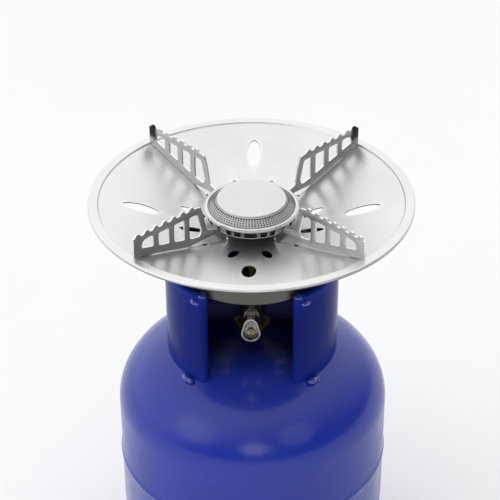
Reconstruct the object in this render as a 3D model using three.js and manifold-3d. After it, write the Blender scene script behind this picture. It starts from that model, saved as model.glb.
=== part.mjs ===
// Single-burner gas cooker top screwed onto a refillable gas cylinder, in millimetres, +Z up.
// The frame's origin is on the floor, under the middle of the cylinder; -Y is the front, where the
// guard collar is open and the control knob faces out.
import * as THREE from 'three';
import { mergeVertices } from 'three/addons/utils/BufferGeometryUtils.js';
import Module from 'manifold-3d';

const wasm = await Module();
wasm.setup();

// ---- Driving dimensions -------------------------------------------------------------------

const GAP = 0.3; // clearance between pieces that touch
const ROUND = 40; // facets round a large piece
const HEAD_FACETS = 32; // facets round the burner head
const FINE = 20; // facets round a small piece
const HEAD_STEPS = 8; // bands from a tank head's pole to its tangent line
const LINING_STEPS = 3; // the same, inside the tank

// Gas cylinder: two elliptical heads on a straight wall.
const TANK = { radius: 132.5, headDepth: 80, bottomTangent: 95, topTangent: 215, wall: 2.5 };
const NECK = { holeRadius: 20.3, bossRadius: 20, boreRadius: 13.3, top: 296.5, bottom: 280 };
const FOOT = { inner: 103, outer: 106, rimInner: 101, rimOuter: 108, rimHeight: 6 };
const FOOT_VENT = { width: 24, height: 11, middle: 23, angles: [30, 150, 270] };
const COLLAR = { outer: 82, wall: 2.6, top: 376, beadRadius: 3.2, openingHalfAngle: 31 };
const CURL = { radius: 4.5, boreRadius: 2.8 };

// Cooker top: every height below is measured from the plane of the dish's rim.
const RIM_HEIGHT = 440;
const DISH = {
  radius: 150, beadRadius: 2, lipRadius: 141, slope: 0.31, floorRadius: 36, sheet: 1, hole: 9.6,
};
const LONG_SLOT = { middle: 102, length: 33, width: 13 };
const AIR_SLOT = { middle: 57, length: 24, width: 8.2, spread: 15.3 };
const SKIRT = { outer: 72.5, inner: 71, bottom: -71, top: -50 };
const HANGER = { inner: 69, outer: 70.2, flange: 80, width: 8, bottom: -62 };
const SUPPORT = { sheet: 1.8, firstTooth: 74, pitch: 10.4, teeth: 7, tip: 20.5, valley: 17.5, tipFlat: 2 };
const TOOTH = { foot: 0.55, flank: 0.42, crown: 0.35, rise: 1.6 }; // shares of half a pitch, and a rise
const TAB = { middles: [58, 130], width: 7.2, below: 5 };
const RELIEF = { start: 76, end: 122, run: 2, height: 0.6 }; // the foot stands clear of the dish here
// The support's inner end, from the last tooth down to the dish, in radius and height.
const SUPPORT_ARM = [[63.5, 17.2], [60, 7], [57, -9], [55.5, -11], [37, -17], [35, -20.6], [30.5, -31]];
// Its four windows, from the outer one inwards, each on the slope of the dish under the toothed bar.
const SUPPORT_WINDOWS = [
  [[119, 1], [133, 4.8], [131, 11.5], [123, 13], [119, 12]],
  [[101, -4.2], [113, -0.9], [113, 11.8], [101, 11.8]],
  [[83, -9.4], [95, -5.9], [95, 11.8], [83, 11.8]],
  [[65, -13.8], [77, -11.4], [77, 11.3], [67.5, 11], [62.5, -8.5]],
];
const WINDOW_EASE = 2.2;
const HEAD = { lip: 44, lipTop: -8, lipBottom: -11.8, bowlBottom: -19.5, hubRadius: 20.5, boreRadius: 9.5 };
// Side windows of the bowl's wall: turn from the middle one in degrees, and width.
const BOWL_WINDOWS = [[0, 11.4], [-17, 6.6], [17, 6.6], [-28.6, 5.4], [28.6, 5.4]];
const BOWL_WINDOW = { radius: 40, depth: 14, height: 5.2, middle: -15.9 };
const BOWL_NOTCH = { radius: 38, depth: 16, height: 20, middle: -24.3 }; // round a support's inner arm
const PORTS = { outer: 39.8, inner: 32.8, low: -8.3, high: -1.9 };
const CAP = { radius: 32.4, edge: -1.6, crown: 2.2 };
const TUBE = { outer: 9, inner: 6.5, top: -25.6, bottom: -96, airHole: 4, airHeight: -80 };
const DISH_WASHER = { outer: 15.5, thickness: 1.5 };
const NUT = { across: 26, height: 6 };
const INJECTOR = { bore: 0.4, shank: 2.6, head: 3.4, tip: 1.6, shoulder: -88.2, headTop: -86, tipTop: -83.6 };

// Control valve: the spindle runs along -Y at AXIS_HEIGHT, out to the knob.
const AXIS_HEIGHT = -119.6;
const VALVE = { radius: 12.6, hexAcross: 26, top: -97, hexBottom: -108, bottom: -136.2 };
const BOSS = { radius: 8, start: 4, end: 21 };
const NIPPLE = { radius: 6.2, top: -88 };
const NOSE = { radius: 8.3, end: -149.3, boreRadius: 1.6 };
const SPINDLE = { radius: 2, tipStart: 3, tipEnd: -1, end: 42.5, chamber: 3.3, seat: 1.3 };
const GLAND = { across: 12, start: 21.3, end: 29.5, boreRadius: 2.35 };
const SEAL = { middle: 17, radius: 2.68, section: 0.52 };
const KNOB = { rear: 33, front: 50, rearRadius: 5.4, frontRadius: 9.2, recessRadius: 7.2, recess: 45 };
const POINTER = { stretch: 0.9, taper: 5, run: 8 }; // the knob's rim is drawn out upwards by this share
const KNOB_HUB = { radius: 3.4, front: 47.4, screwRadius: 1.3 };
const SCREW = { radius: 1, headRadius: 2.3, headHeight: 1.5, end: 45.1 };

// Cylinder valve in the neck, and the spring-loaded check pin that the nose presses open.
const OUTLET = { flangeTop: 302, flangeBottom: 296.8, hexAcross: 30, socketRadius: 8.6, socketBottom: 288 };
const CHECK = { stemRadius: 2.2, stemHole: 2.6, headRadius: 5.2, chamber: 6, chamberTop: 282, bottom: 264 };
const PIN_HEAD = { drop: 2, thickness: 3.4 };
const RETAINER = { recess: 0.5, top: 3, bore: 2.4 };
const SPRING = { wire: 0.45, coilRadius: 3.6, turns: 4.5 };
const WASHER = { inner: 8.7, outer: 12.5 };

const rad = THREE.MathUtils.degToRad;
const point = (x, y) => new THREE.Vector2(x, y);

// ---- Solids: closed meshes, cut and joined --------------------------------------------------

// Turns a closed geometry into a solid: welds it, drops collapsed triangles and faces it outward.
function solidOf(geometry) {
  const plain = new THREE.BufferGeometry();
  plain.setAttribute('position', geometry.getAttribute('position').clone());
  if (geometry.index) plain.setIndex(geometry.index.clone());
  const welded = mergeVertices(plain, 1e-4);
  const vertices = new Float32Array(welded.getAttribute('position').array);
  const triangles = [];
  let volume = 0;
  const corners = [new THREE.Vector3(), new THREE.Vector3(), new THREE.Vector3()];
  for (let i = 0; i < welded.index.count; i += 3) {
    const [a, b, c] = [0, 1, 2].map((step) => welded.index.getX(i + step));
    if (a === b || b === c || c === a) continue;
    triangles.push(a, b, c);
    [a, b, c].forEach((vertex, k) => corners[k].fromArray(vertices, vertex * 3));
    volume += corners[0].dot(corners[1].cross(corners[2]));
  }
  if (volume < 0) triangles.reverse();
  const mesh = new wasm.Mesh({ numProp: 3, vertProperties: vertices, triVerts: new Uint32Array(triangles) });
  return new wasm.Manifold(mesh);
}

function geometryOf(solid) {
  const mesh = solid.getMesh();
  const geometry = new THREE.BufferGeometry();
  geometry.setAttribute('position', new THREE.BufferAttribute(new Float32Array(mesh.vertProperties), 3));
  geometry.setIndex(new THREE.BufferAttribute(new Uint32Array(mesh.triVerts), 1));
  geometry.computeVertexNormals();
  return geometry;
}

// A profile of [radius, height] pairs turned about Z.
function turned(profile, facets = FINE, closed = true) {
  const points = profile.map(([radius, height]) => point(radius, height));
  if (closed) points.push(points[0].clone());
  const geometry = new THREE.LatheGeometry(points, facets);
  return solidOf(geometry.rotateX(Math.PI / 2));
}

// A bush: a cylinder of revolution with a bore, or a plain rod when the bore is 0.
function rod(outer, low, high, bore = 0, facets = FINE) {
  if (bore > 0) return turned([[bore, low], [outer, low], [outer, high], [bore, high]], facets);
  return turned([[0, low], [outer, low], [outer, high], [0, high]], facets, false);
}

// A shape drawn in XY, raised along Z.
function raised(shape, low, high, curveSegments = 6) {
  const options = { depth: high - low, bevelEnabled: false, curveSegments };
  return solidOf(new THREE.ExtrudeGeometry(shape, options).translate(0, 0, low));
}

function hexagon(across) {
  const corner = across / Math.sqrt(3);
  const corners = [0, 60, 120, 180, 240, 300].map((angle) => {
    return point(corner * Math.cos(rad(angle)), corner * Math.sin(rad(angle)));
  });
  return new THREE.Shape(corners);
}

function block(width, depth, height, x, y, z) {
  return solidOf(new THREE.BoxGeometry(width, depth, height).translate(x, y, z));
}

// Lays a solid that is built along Z down along -Y, at the given height.
function alongFront(solid, height) {
  const geometry = geometryOf(solid).rotateX(Math.PI / 2).translate(0, 0, height);
  return solidOf(geometry);
}

function turnedAbout(solid, degrees) {
  return solidOf(geometryOf(solid).rotateZ(rad(degrees)));
}

function cutAll(solid, cutters) {
  return cutters.reduce((rest, cutter) => rest.subtract(cutter), solid);
}

// ---- Materials ------------------------------------------------------------------------------

const paint = () => new THREE.MeshStandardMaterial({ color: 0x2a3290, roughness: 0.25, metalness: 0.1 });
const sheetSteel = () => new THREE.MeshStandardMaterial({ color: 0xdcdcdc, roughness: 0.35, metalness: 0.9 });
const darkSteel = () => new THREE.MeshStandardMaterial({ color: 0xb0b0b0, roughness: 0.4, metalness: 0.9 });
const greySteel = () => new THREE.MeshStandardMaterial({ color: 0x5c5c58, roughness: 0.45, metalness: 0.8 });
const brass = () => new THREE.MeshStandardMaterial({ color: 0x8a7440, roughness: 0.35, metalness: 1 });
const nickel = () => new THREE.MeshStandardMaterial({ color: 0x8c8780, roughness: 0.3, metalness: 1 });
const rubber = () => new THREE.MeshStandardMaterial({ color: 0x1c1c1c, roughness: 0.8, metalness: 0 });

function piece(name, solid, material) {
  const mesh = new THREE.Mesh(geometryOf(solid), material());
  mesh.name = name;
  return mesh;
}

// ---- Gas cylinder ---------------------------------------------------------------------------

// Points of a head's outline from one polar angle to another; 0 is the pole, 90 the tangent line.
function headOutline(tangent, side, grow, from, to, steps) {
  const outline = [];
  for (let k = 0; k <= steps; k += 1) {
    const polar = rad(from + ((to - from) * k) / steps);
    const radius = (TANK.radius + grow) * Math.sin(polar);
    outline.push([radius, tangent + side * (TANK.headDepth + grow) * Math.cos(polar)]);
  }
  return outline;
}

function neckAngle(grow) {
  return THREE.MathUtils.radToDeg(Math.asin(NECK.holeRadius / (TANK.radius + grow)));
}

// The tank's outer surface, round from the neck's edge to the bottom pole, grown by a little.
function tankOutside(grow) {
  return [
    ...headOutline(TANK.topTangent, 1, grow, neckAngle(0), 90, HEAD_STEPS),
    ...headOutline(TANK.bottomTangent, -1, grow, 90, 0, HEAD_STEPS),
  ];
}

// A solid for trimming what is welded to the tank.
function tankCutter(grow) {
  const outside = tankOutside(grow);
  return turned([[0, outside[0][1]], ...outside], ROUND, false);
}

function cylinderShell() {
  const profile = [
    ...tankOutside(0),
    ...headOutline(TANK.bottomTangent, -1, -TANK.wall, 0, 90, LINING_STEPS),
    ...headOutline(TANK.topTangent, 1, -TANK.wall, 90, neckAngle(-TANK.wall), LINING_STEPS),
  ];
  return turned(profile, ROUND);
}

function footRing() {
  const top = TANK.bottomTangent;
  const chamfer = 0.8;
  const ring = turned([
    [FOOT.rimInner, chamfer], [FOOT.rimInner + chamfer, 0],
    [FOOT.rimOuter - chamfer, 0], [FOOT.rimOuter, chamfer],
    [FOOT.rimOuter, FOOT.rimHeight - 2], [FOOT.outer, FOOT.rimHeight],
    [FOOT.outer, top], [FOOT.inner, top],
    [FOOT.inner, FOOT.rimHeight], [FOOT.rimInner, FOOT.rimHeight - 2],
  ], ROUND);
  const through = 8 * (FOOT.outer - FOOT.inner);
  const vents = FOOT_VENT.angles.map((angle) => {
    const vent = block(FOOT_VENT.width, through, FOOT_VENT.height, 0, -FOOT.inner, FOOT_VENT.middle);
    return turnedAbout(vent, angle);
  });
  return cutAll(ring, [tankCutter(GAP), ...vents]);
}

// Sheet guard round the valve: rolled bead on its top edge, rolled curls down its two front edges.
function guardCollar() {
  const inner = COLLAR.outer - COLLAR.wall;
  const beadMiddle = COLLAR.outer - COLLAR.beadRadius;
  const beadHeight = COLLAR.top - COLLAR.beadRadius;
  const bead = [0, 60, 120, 180, 240].map((angle) => [
    beadMiddle + COLLAR.beadRadius * Math.cos(rad(angle)),
    beadHeight + COLLAR.beadRadius * Math.sin(rad(angle)),
  ]);
  const foot = TANK.topTangent;
  const ring = turned([[inner, foot], [COLLAR.outer, foot], ...bead, [inner, beadHeight - 3]], ROUND);

  const curlMiddle = COLLAR.outer - CURL.radius;
  const curlAngle = COLLAR.openingHalfAngle + THREE.MathUtils.radToDeg(CURL.radius / curlMiddle);
  const reach = COLLAR.outer * 1.5;
  const side = reach * Math.tan(rad(curlAngle));
  const opening = new THREE.Shape([point(0, 0), point(-side, -reach), point(side, -reach)]);
  let collar = ring.subtract(raised(opening, foot - 5, COLLAR.top + 5));

  for (const turn of [-curlAngle, curlAngle]) {
    const curl = geometryOf(rod(CURL.radius, foot, COLLAR.top, 0, 16));
    curl.translate(0, -curlMiddle, 0);
    collar = collar.add(turnedAbout(solidOf(curl), turn));
    const hollow = geometryOf(rod(CURL.boreRadius, foot - 1, COLLAR.top + 1, 0, 16));
    hollow.translate(0, -curlMiddle, 0);
    collar = collar.subtract(turnedAbout(solidOf(hollow), turn));
  }
  return collar.subtract(tankCutter(GAP));
}

function neckBoss() {
  return turned([
    [NECK.boreRadius, NECK.bottom], [NECK.bossRadius, NECK.bottom],
    [NECK.bossRadius, NECK.top - 1.5], [NECK.bossRadius - 1.5, NECK.top], [NECK.boreRadius, NECK.top],
  ]);
}

// Brass outlet valve: hexagon flange, threaded socket above, check chamber below.
function cylinderValveBody() {
  const flange = raised(hexagon(OUTLET.hexAcross), OUTLET.flangeBottom, OUTLET.flangeTop);
  const threaded = rod(NECK.boreRadius - GAP, CHECK.bottom, OUTLET.flangeBottom + 1);
  return cutAll(flange.add(threaded), [
    rod(OUTLET.socketRadius, OUTLET.socketBottom, OUTLET.flangeTop + 1),
    rod(CHECK.stemHole, CHECK.chamberTop - 1, OUTLET.socketBottom + 1, 0, 24),
    rod(CHECK.chamber, CHECK.bottom - 1, CHECK.chamberTop),
  ]);
}

const pinTop = RIM_HEIGHT + NOSE.end - GAP;
const pinHeadTop = CHECK.chamberTop - PIN_HEAD.drop;
const pinHeadBottom = pinHeadTop - PIN_HEAD.thickness;
const retainerTop = CHECK.bottom + RETAINER.top;

function checkPin() {
  return turned([
    [0, pinHeadBottom], [CHECK.headRadius, pinHeadBottom], [CHECK.headRadius, pinHeadTop - 0.8],
    [CHECK.headRadius - 0.8, pinHeadTop], [CHECK.stemRadius, pinHeadTop],
    [CHECK.stemRadius, pinTop - 0.4], [CHECK.stemRadius - 0.4, pinTop], [0, pinTop],
  ], 24, false);
}

// Compression spring between the pin's head and the retainer.
function checkSpring() {
  const { wire, coilRadius, turns } = SPRING;
  const low = retainerTop + GAP + wire;
  const high = pinHeadBottom - GAP - wire;
  class Helix extends THREE.Curve {
    getPoint(t, target = new THREE.Vector3()) {
      const angle = 2 * Math.PI * turns * t;
      return target.set(coilRadius * Math.cos(angle), coilRadius * Math.sin(angle), low + (high - low) * t);
    }
  }
  const section = new THREE.Shape();
  section.absarc(0, 0, wire, 0, 2 * Math.PI);
  const options = { steps: 40, extrudePath: new Helix(), bevelEnabled: false, curveSegments: 3 };
  return solidOf(new THREE.ExtrudeGeometry(section, options));
}

function valveRetainer() {
  return rod(CHECK.chamber - GAP, CHECK.bottom + RETAINER.recess, retainerTop, RETAINER.bore, 24);
}

function makeCylinder() {
  const group = new THREE.Group();
  group.add(piece('cylinder_shell', cylinderShell(), paint));
  group.add(piece('foot_ring', footRing(), paint));
  group.add(piece('guard_collar', guardCollar(), paint));
  group.add(piece('neck_boss', neckBoss(), paint));
  group.add(piece('cylinder_valve_body', cylinderValveBody(), brass));
  group.add(piece('check_pin', checkPin(), brass));
  group.add(piece('check_spring', checkSpring(), nickel));
  group.add(piece('valve_retainer', valveRetainer(), brass));
  return group;
}

// ---- Dish and pan supports ------------------------------------------------------------------

// Height of the dish's upper surface at a radius.
function dishHeight(radius) {
  const coneRadius = Math.min(Math.max(radius, DISH.floorRadius), DISH.lipRadius);
  return -(DISH.lipRadius - coneRadius) * DISH.slope;
}

// Elliptical slot along the local X, its middle at a radius.
function slotShape({ middle, length, width }) {
  const shape = new THREE.Shape();
  shape.absellipse(middle, 0, length / 2, width / 2, 0, 2 * Math.PI);
  return shape;
}

function dish() {
  const edge = DISH.radius - DISH.beadRadius;
  const floor = dishHeight(0);
  const bead = [90, 45, 0, -45, -90, -130].map((angle) => [
    edge + DISH.beadRadius * Math.cos(rad(angle)),
    -DISH.beadRadius + DISH.beadRadius * Math.sin(rad(angle)),
  ]);
  const shell = turned([
    [DISH.hole, floor], [DISH.floorRadius, floor], [DISH.lipRadius, 0],
    ...bead,
    [edge - 1.6, -DISH.sheet], [DISH.lipRadius, -DISH.sheet],
    [DISH.floorRadius, floor - DISH.sheet], [DISH.hole, floor - DISH.sheet],
  ], ROUND);

  const cutters = [];
  const low = floor - 5;
  const high = 5;
  for (const axis of [0, 90, 180, 270]) {
    cutters.push(turnedAbout(raised(slotShape(LONG_SLOT), low, high, 8), axis));
    for (const side of [-1, 1]) {
      const slot = raised(slotShape(AIR_SLOT), low, high, 6);
      cutters.push(turnedAbout(slot, axis + side * AIR_SLOT.spread));
    }
    for (const middle of TAB.middles) {
      const slit = block(TAB.width + 4 * GAP, SUPPORT.sheet + 4 * GAP, 90, middle, 0, floor);
      cutters.push(turnedAbout(slit, axis + 45));
    }
  }
  return cutAll(shell, cutters);
}

// Plain ring that hangs under the dish and drops inside the guard collar.
function dishSkirt() {
  return rod(SKIRT.outer, SKIRT.bottom, SKIRT.top, SKIRT.inner, ROUND);
}

// Stands a shape drawn in radius and height upright, with its middle on the XZ plane.
function upright(shape, thickness) {
  const options = { depth: thickness, bevelEnabled: false, curveSegments: 2 };
  const sheet = new THREE.ExtrudeGeometry(shape, options);
  return solidOf(sheet.translate(0, 0, -thickness / 2).rotateX(Math.PI / 2));
}

// Bent strip inside the skirt, with a foot that lies along the underside of the dish.
function skirtHanger() {
  const under = (radius) => dishHeight(radius) - DISH.sheet - GAP - 0.1;
  const { inner, outer, flange, width, bottom } = HANGER;
  const sheet = outer - inner;
  return upright(new THREE.Shape([
    point(inner, bottom), point(outer, bottom), point(outer, under(outer) - sheet),
    point(flange, under(flange) - sheet), point(flange, under(flange)), point(inner, under(inner)),
  ]), width);
}

// A closed path through corner points, each corner eased by a curve.
function easedPath(corners, ease) {
  const path = new THREE.Path();
  corners.forEach((corner, k) => {
    const before = corners[(k + corners.length - 1) % corners.length];
    const after = corners[(k + 1) % corners.length];
    const start = corner.clone().lerp(before, Math.min(0.45, ease / corner.distanceTo(before)));
    const end = corner.clone().lerp(after, Math.min(0.45, ease / corner.distanceTo(after)));
    if (k === 0) path.moveTo(start.x, start.y);
    else path.lineTo(start.x, start.y);
    path.quadraticCurveTo(corner.x, corner.y, end.x, end.y);
  });
  path.closePath();
  return path;
}

// The support's toothed top edge, from the outer end inwards.
function addTeeth(shape) {
  const half = SUPPORT.pitch / 2;
  const flat = SUPPORT.tipFlat / 2;
  const { foot, flank, crown, rise } = TOOTH;
  for (let k = SUPPORT.teeth - 1; k >= 0; k -= 1) {
    const tip = SUPPORT.firstTooth + k * SUPPORT.pitch;
    shape.quadraticCurveTo(tip + half * foot, SUPPORT.valley, tip + half * flank, SUPPORT.valley + rise);
    shape.quadraticCurveTo(tip + half * crown, SUPPORT.tip, tip + flat, SUPPORT.tip);
    shape.lineTo(tip - flat, SUPPORT.tip);
    shape.quadraticCurveTo(tip - half * crown, SUPPORT.tip, tip - half * flank, SUPPORT.valley + rise);
    shape.quadraticCurveTo(tip - half * foot, SUPPORT.valley, tip - half, SUPPORT.valley);
  }
}

// A tab that drops through a slit of the dish, drawn outwards along the support's foot.
function addTab(shape, middle, foot) {
  const half = TAB.width / 2;
  const low = dishHeight(middle) - TAB.below;
  shape.lineTo(middle - half, foot(middle - half));
  shape.lineTo(middle - half, low);
  shape.lineTo(middle + half, low);
  shape.lineTo(middle + half, foot(middle + half));
}

// Flat sheet pan support drawn in radius and height: teeth, four windows, two tabs, inner arm.
function panSupport() {
  const outerEnd = SUPPORT.firstTooth + (SUPPORT.teeth - 0.5) * SUPPORT.pitch;
  const foot = (radius) => dishHeight(radius) + GAP;
  const shape = new THREE.Shape();
  shape.moveTo(outerEnd, foot(outerEnd));
  shape.lineTo(outerEnd, SUPPORT.valley);
  addTeeth(shape);
  SUPPORT_ARM.forEach(([x, y]) => shape.lineTo(x, y));
  shape.lineTo(SUPPORT_ARM.at(-1)[0] + 0.5, foot(0));
  shape.lineTo(DISH.floorRadius, foot(0));
  addTab(shape, TAB.middles[0], foot);
  shape.lineTo(RELIEF.start, foot(RELIEF.start));
  shape.lineTo(RELIEF.start + RELIEF.run, foot(RELIEF.start + RELIEF.run) + RELIEF.height);
  shape.lineTo(RELIEF.end - RELIEF.run, foot(RELIEF.end - RELIEF.run) + RELIEF.height);
  shape.lineTo(RELIEF.end, foot(RELIEF.end));
  addTab(shape, TAB.middles[1], foot);
  shape.lineTo(DISH.lipRadius, foot(DISH.lipRadius));
  shape.holes = SUPPORT_WINDOWS.map((corners) => {
    return easedPath(corners.map(([x, y]) => point(x, y)), WINDOW_EASE);
  });

  return upright(shape, SUPPORT.sheet);
}

// ---- Burner -----------------------------------------------------------------------------------

// Bowl with a rounded lip, a low wall with side windows, a sloping floor and a hub on the dish.
function burnerBowl() {
  const hubFoot = dishHeight(0) + GAP;
  const bowl = turned([
    [HEAD.boreRadius, hubFoot], [HEAD.hubRadius, hubFoot], [HEAD.hubRadius, -25],
    [38.5, -21.5], [41, HEAD.bowlBottom], [42.3, -12.4],
    [43.4, HEAD.lipBottom], [HEAD.lip, -10.4], [HEAD.lip, -9.2], [43.2, HEAD.lipTop],
    [41, HEAD.lipTop], [40.2, -9], [40.2, -13], [39.2, -18.4], [37.5, -19.6], [HEAD.boreRadius, -24.6],
  ], HEAD_FACETS);
  const cutters = [];
  const { radius, depth, height, middle } = BOWL_WINDOW;
  for (const axis of [0, 90, 180, 270]) {
    for (const [offset, width] of BOWL_WINDOWS) {
      cutters.push(turnedAbout(block(depth, width, height, radius, 0, middle), axis + offset));
    }
    const slit = SUPPORT.sheet + 4 * GAP;
    const notch = block(BOWL_NOTCH.depth, slit, BOWL_NOTCH.height, BOWL_NOTCH.radius, 0, BOWL_NOTCH.middle);
    cutters.push(turnedAbout(notch, axis + 45));
  }
  return cutAll(bowl, cutters);
}

// Conical band that carries the flame ports, with a skirt inside the bowl and a seat for the cap.
function portRing() {
  const sheet = 1;
  return turned([
    [PORTS.outer - sheet, -12.4], [PORTS.outer, -12.4], [PORTS.outer, PORTS.low], [PORTS.inner, PORTS.high],
    [PORTS.inner, -2.8], [29, -2.8], [29, -3.8], [PORTS.inner, -3.8], [PORTS.outer - sheet, PORTS.low - 1],
  ], HEAD_FACETS);
}

function burnerCap() {
  const under = -2.5;
  const profile = [[0, under], [CAP.radius, under], [CAP.radius, CAP.edge - 0.3]];
  const steps = 5;
  for (let k = 0; k <= steps; k += 1) {
    const share = 1 - k / steps;
    const radius = (CAP.radius - 0.4) * share;
    profile.push([radius, CAP.crown + (CAP.edge - CAP.crown) * share * share]);
  }
  return turned(profile, HEAD_FACETS, false);
}

// Mixing tube from the injector up to the bowl, with four air holes just above the injector.
function mixingTube() {
  const tube = rod(TUBE.outer, TUBE.bottom, TUBE.top, TUBE.inner);
  const holes = [45, 135].map((angle) => {
    const cross = alongFront(rod(TUBE.airHole, -TUBE.outer - 2, TUBE.outer + 2, 0, 16), TUBE.airHeight);
    return turnedAbout(cross, angle);
  });
  return cutAll(tube, holes);
}

function dishWasher() {
  const top = dishHeight(0) - DISH.sheet - GAP;
  return rod(DISH_WASHER.outer, top - DISH_WASHER.thickness, top, TUBE.outer + GAP);
}

function tubeNut() {
  const top = dishHeight(0) - DISH.sheet - DISH_WASHER.thickness - 2 * GAP;
  const nut = raised(hexagon(NUT.across), top - NUT.height, top);
  return nut.subtract(rod(TUBE.outer + GAP, top - NUT.height - 1, top + 1));
}

function injector() {
  const seat = VALVE.top + 1.3;
  const { bore, shank, head, tip, shoulder, headTop, tipTop } = INJECTOR;
  return turned([
    [bore, seat], [shank, seat], [shank, shoulder], [head, shoulder], [head, headTop],
    [tip, tipTop], [bore, tipTop],
  ], 16);
}

// ---- Control valve ----------------------------------------------------------------------------

function controlValveBody() {
  const round = rod(VALVE.radius, VALVE.bottom, VALVE.hexBottom + 1);
  const hex = raised(hexagon(VALVE.hexAcross), VALVE.hexBottom, VALVE.top);
  const nipple = rod(NIPPLE.radius, VALVE.top - 0.5, NIPPLE.top - GAP);
  const nose = rod(NOSE.radius, NOSE.end, VALVE.bottom + 1);
  const boss = alongFront(rod(BOSS.radius, BOSS.start, BOSS.end), AXIS_HEIGHT);
  const body = round.add(hex).add(nipple).add(nose).add(boss);
  const rise = geometryOf(rod(1, AXIS_HEIGHT - 0.4, VALVE.top + 3, 0, 12)).translate(0, 3.2, 0);
  const supply = geometryOf(rod(NOSE.boreRadius, NOSE.end - 1, AXIS_HEIGHT, 0, 16)).translate(0, -4, 0);
  return cutAll(body, [
    alongFront(rod(SPINDLE.chamber, 1, BOSS.end + 1, 0, 24), AXIS_HEIGHT),
    alongFront(rod(SPINDLE.seat, -4.5, 2, 0, 12), AXIS_HEIGHT),
    rod(3, VALVE.top + 1, NIPPLE.top + 1, 0, 16),
    solidOf(rise), solidOf(supply),
  ]);
}

// The pieces on the spindle's axis are built along Z, which points out to the front.
function glandNut() {
  const nut = raised(hexagon(GLAND.across), GLAND.start, GLAND.end);
  return nut.subtract(rod(GLAND.boreRadius, GLAND.start - 1, GLAND.end + 1, 0, 24));
}

function spindleSeal() {
  const section = [0, 60, 120, 180, 240, 300].map((angle) => [
    SEAL.radius + SEAL.section * Math.cos(rad(angle)),
    SEAL.middle + SEAL.section * Math.sin(rad(angle)),
  ]);
  return turned(section, 20);
}

function needleSpindle() {
  return turned([
    [0, SPINDLE.tipEnd], [0.4, SPINDLE.tipEnd], [1.2, SPINDLE.tipStart - 1.5],
    [SPINDLE.radius, SPINDLE.tipStart], [SPINDLE.radius, SPINDLE.end - 0.4],
    [SPINDLE.radius - 0.4, SPINDLE.end], [0, SPINDLE.end],
  ], 24, false);
}

// Draws the knob's flare out into a pointer on its upper side.
function pointed(solid) {
  return solid.warp((vertex) => {
    const reach = Math.hypot(vertex[0], vertex[1]);
    if (reach < KNOB_HUB.radius + 0.5) return;
    const upward = Math.max(0, vertex[1] / reach) ** POINTER.taper;
    const flare = Math.min(1, (vertex[2] - KNOB.rear) / POINTER.run);
    vertex[0] *= 1 + POINTER.stretch * flare * upward;
    vertex[1] *= 1 + POINTER.stretch * flare * upward;
  });
}

// Flared metal knob with a dished face; the boss in the middle takes the screw.
function controlKnob() {
  const bore = SPINDLE.radius + GAP;
  const blind = SPINDLE.end + 2;
  return pointed(turned([
    [bore, KNOB.rear], [KNOB.rearRadius, KNOB.rear], [KNOB.rearRadius + 0.8, KNOB.rear + 3],
    [KNOB.frontRadius - 0.8, 41], [KNOB.frontRadius, 43.5], [KNOB.frontRadius, KNOB.front - 0.8],
    [KNOB.frontRadius - 0.8, KNOB.front], [KNOB.recessRadius + 0.4, KNOB.front],
    [KNOB.recessRadius, KNOB.recess], [KNOB_HUB.radius, KNOB.recess],
    [KNOB_HUB.radius, KNOB_HUB.front], [KNOB_HUB.screwRadius, KNOB_HUB.front],
    [KNOB_HUB.screwRadius, blind], [bore, blind],
  ], HEAD_FACETS));
}

function knobScrew() {
  const seat = KNOB_HUB.front + GAP;
  const crown = seat + SCREW.headHeight;
  return turned([
    [0, SCREW.end], [SCREW.radius, SCREW.end], [SCREW.radius, seat], [SCREW.headRadius, seat],
    [SCREW.headRadius, crown - 0.6], [SCREW.headRadius - 0.7, crown], [0, crown],
  ], 16, false);
}

function sealingWasher() {
  const low = OUTLET.flangeTop - RIM_HEIGHT + GAP;
  return rod(WASHER.outer, low, VALVE.bottom - GAP, WASHER.inner);
}

function makeCookerTop() {
  const group = new THREE.Group();
  group.position.z = RIM_HEIGHT;
  group.add(piece('dish', dish(), sheetSteel));
  group.add(piece('dish_skirt', dishSkirt(), greySteel));
  for (const [side, angle] of [['back', 90], ['left', 210], ['right', 330]]) {
    const hanger = piece(`skirt_hanger_${side}`, skirtHanger(), greySteel);
    hanger.rotation.z = rad(angle);
    group.add(hanger);
  }
  const corners = [['front_right', -45], ['front_left', -135], ['back_left', 135], ['back_right', 45]];
  for (const [corner, angle] of corners) {
    const support = piece(`pan_support_${corner}`, panSupport(), darkSteel);
    support.rotation.z = rad(angle);
    group.add(support);
  }
  group.add(piece('burner_bowl', burnerBowl(), sheetSteel));
  group.add(piece('port_ring', portRing(), sheetSteel));
  group.add(piece('burner_cap', burnerCap(), sheetSteel));
  group.add(piece('mixing_tube', mixingTube(), brass));
  group.add(piece('dish_washer', dishWasher(), nickel));
  group.add(piece('tube_nut', tubeNut(), brass));
  group.add(piece('injector', injector(), brass));
  group.add(piece('control_valve_body', controlValveBody(), nickel));
  group.add(piece('sealing_washer', sealingWasher(), rubber));

  const spindleAxis = new THREE.Group();
  spindleAxis.position.z = AXIS_HEIGHT;
  spindleAxis.rotation.x = Math.PI / 2;
  spindleAxis.add(piece('gland_nut', glandNut(), nickel));
  spindleAxis.add(piece('spindle_seal', spindleSeal(), rubber));
  spindleAxis.add(piece('needle_spindle', needleSpindle(), nickel));
  spindleAxis.add(piece('control_knob', controlKnob(), nickel));
  spindleAxis.add(piece('knob_screw', knobScrew(), brass));
  group.add(spindleAxis);
  return group;
}

const cooker = new THREE.Group();
cooker.name = 'gas_cooker_on_cylinder';
cooker.add(makeCylinder(), makeCookerTop());

export default cooker;
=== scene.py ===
import math

import bmesh
import bpy
from mathutils import Matrix, Vector


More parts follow.
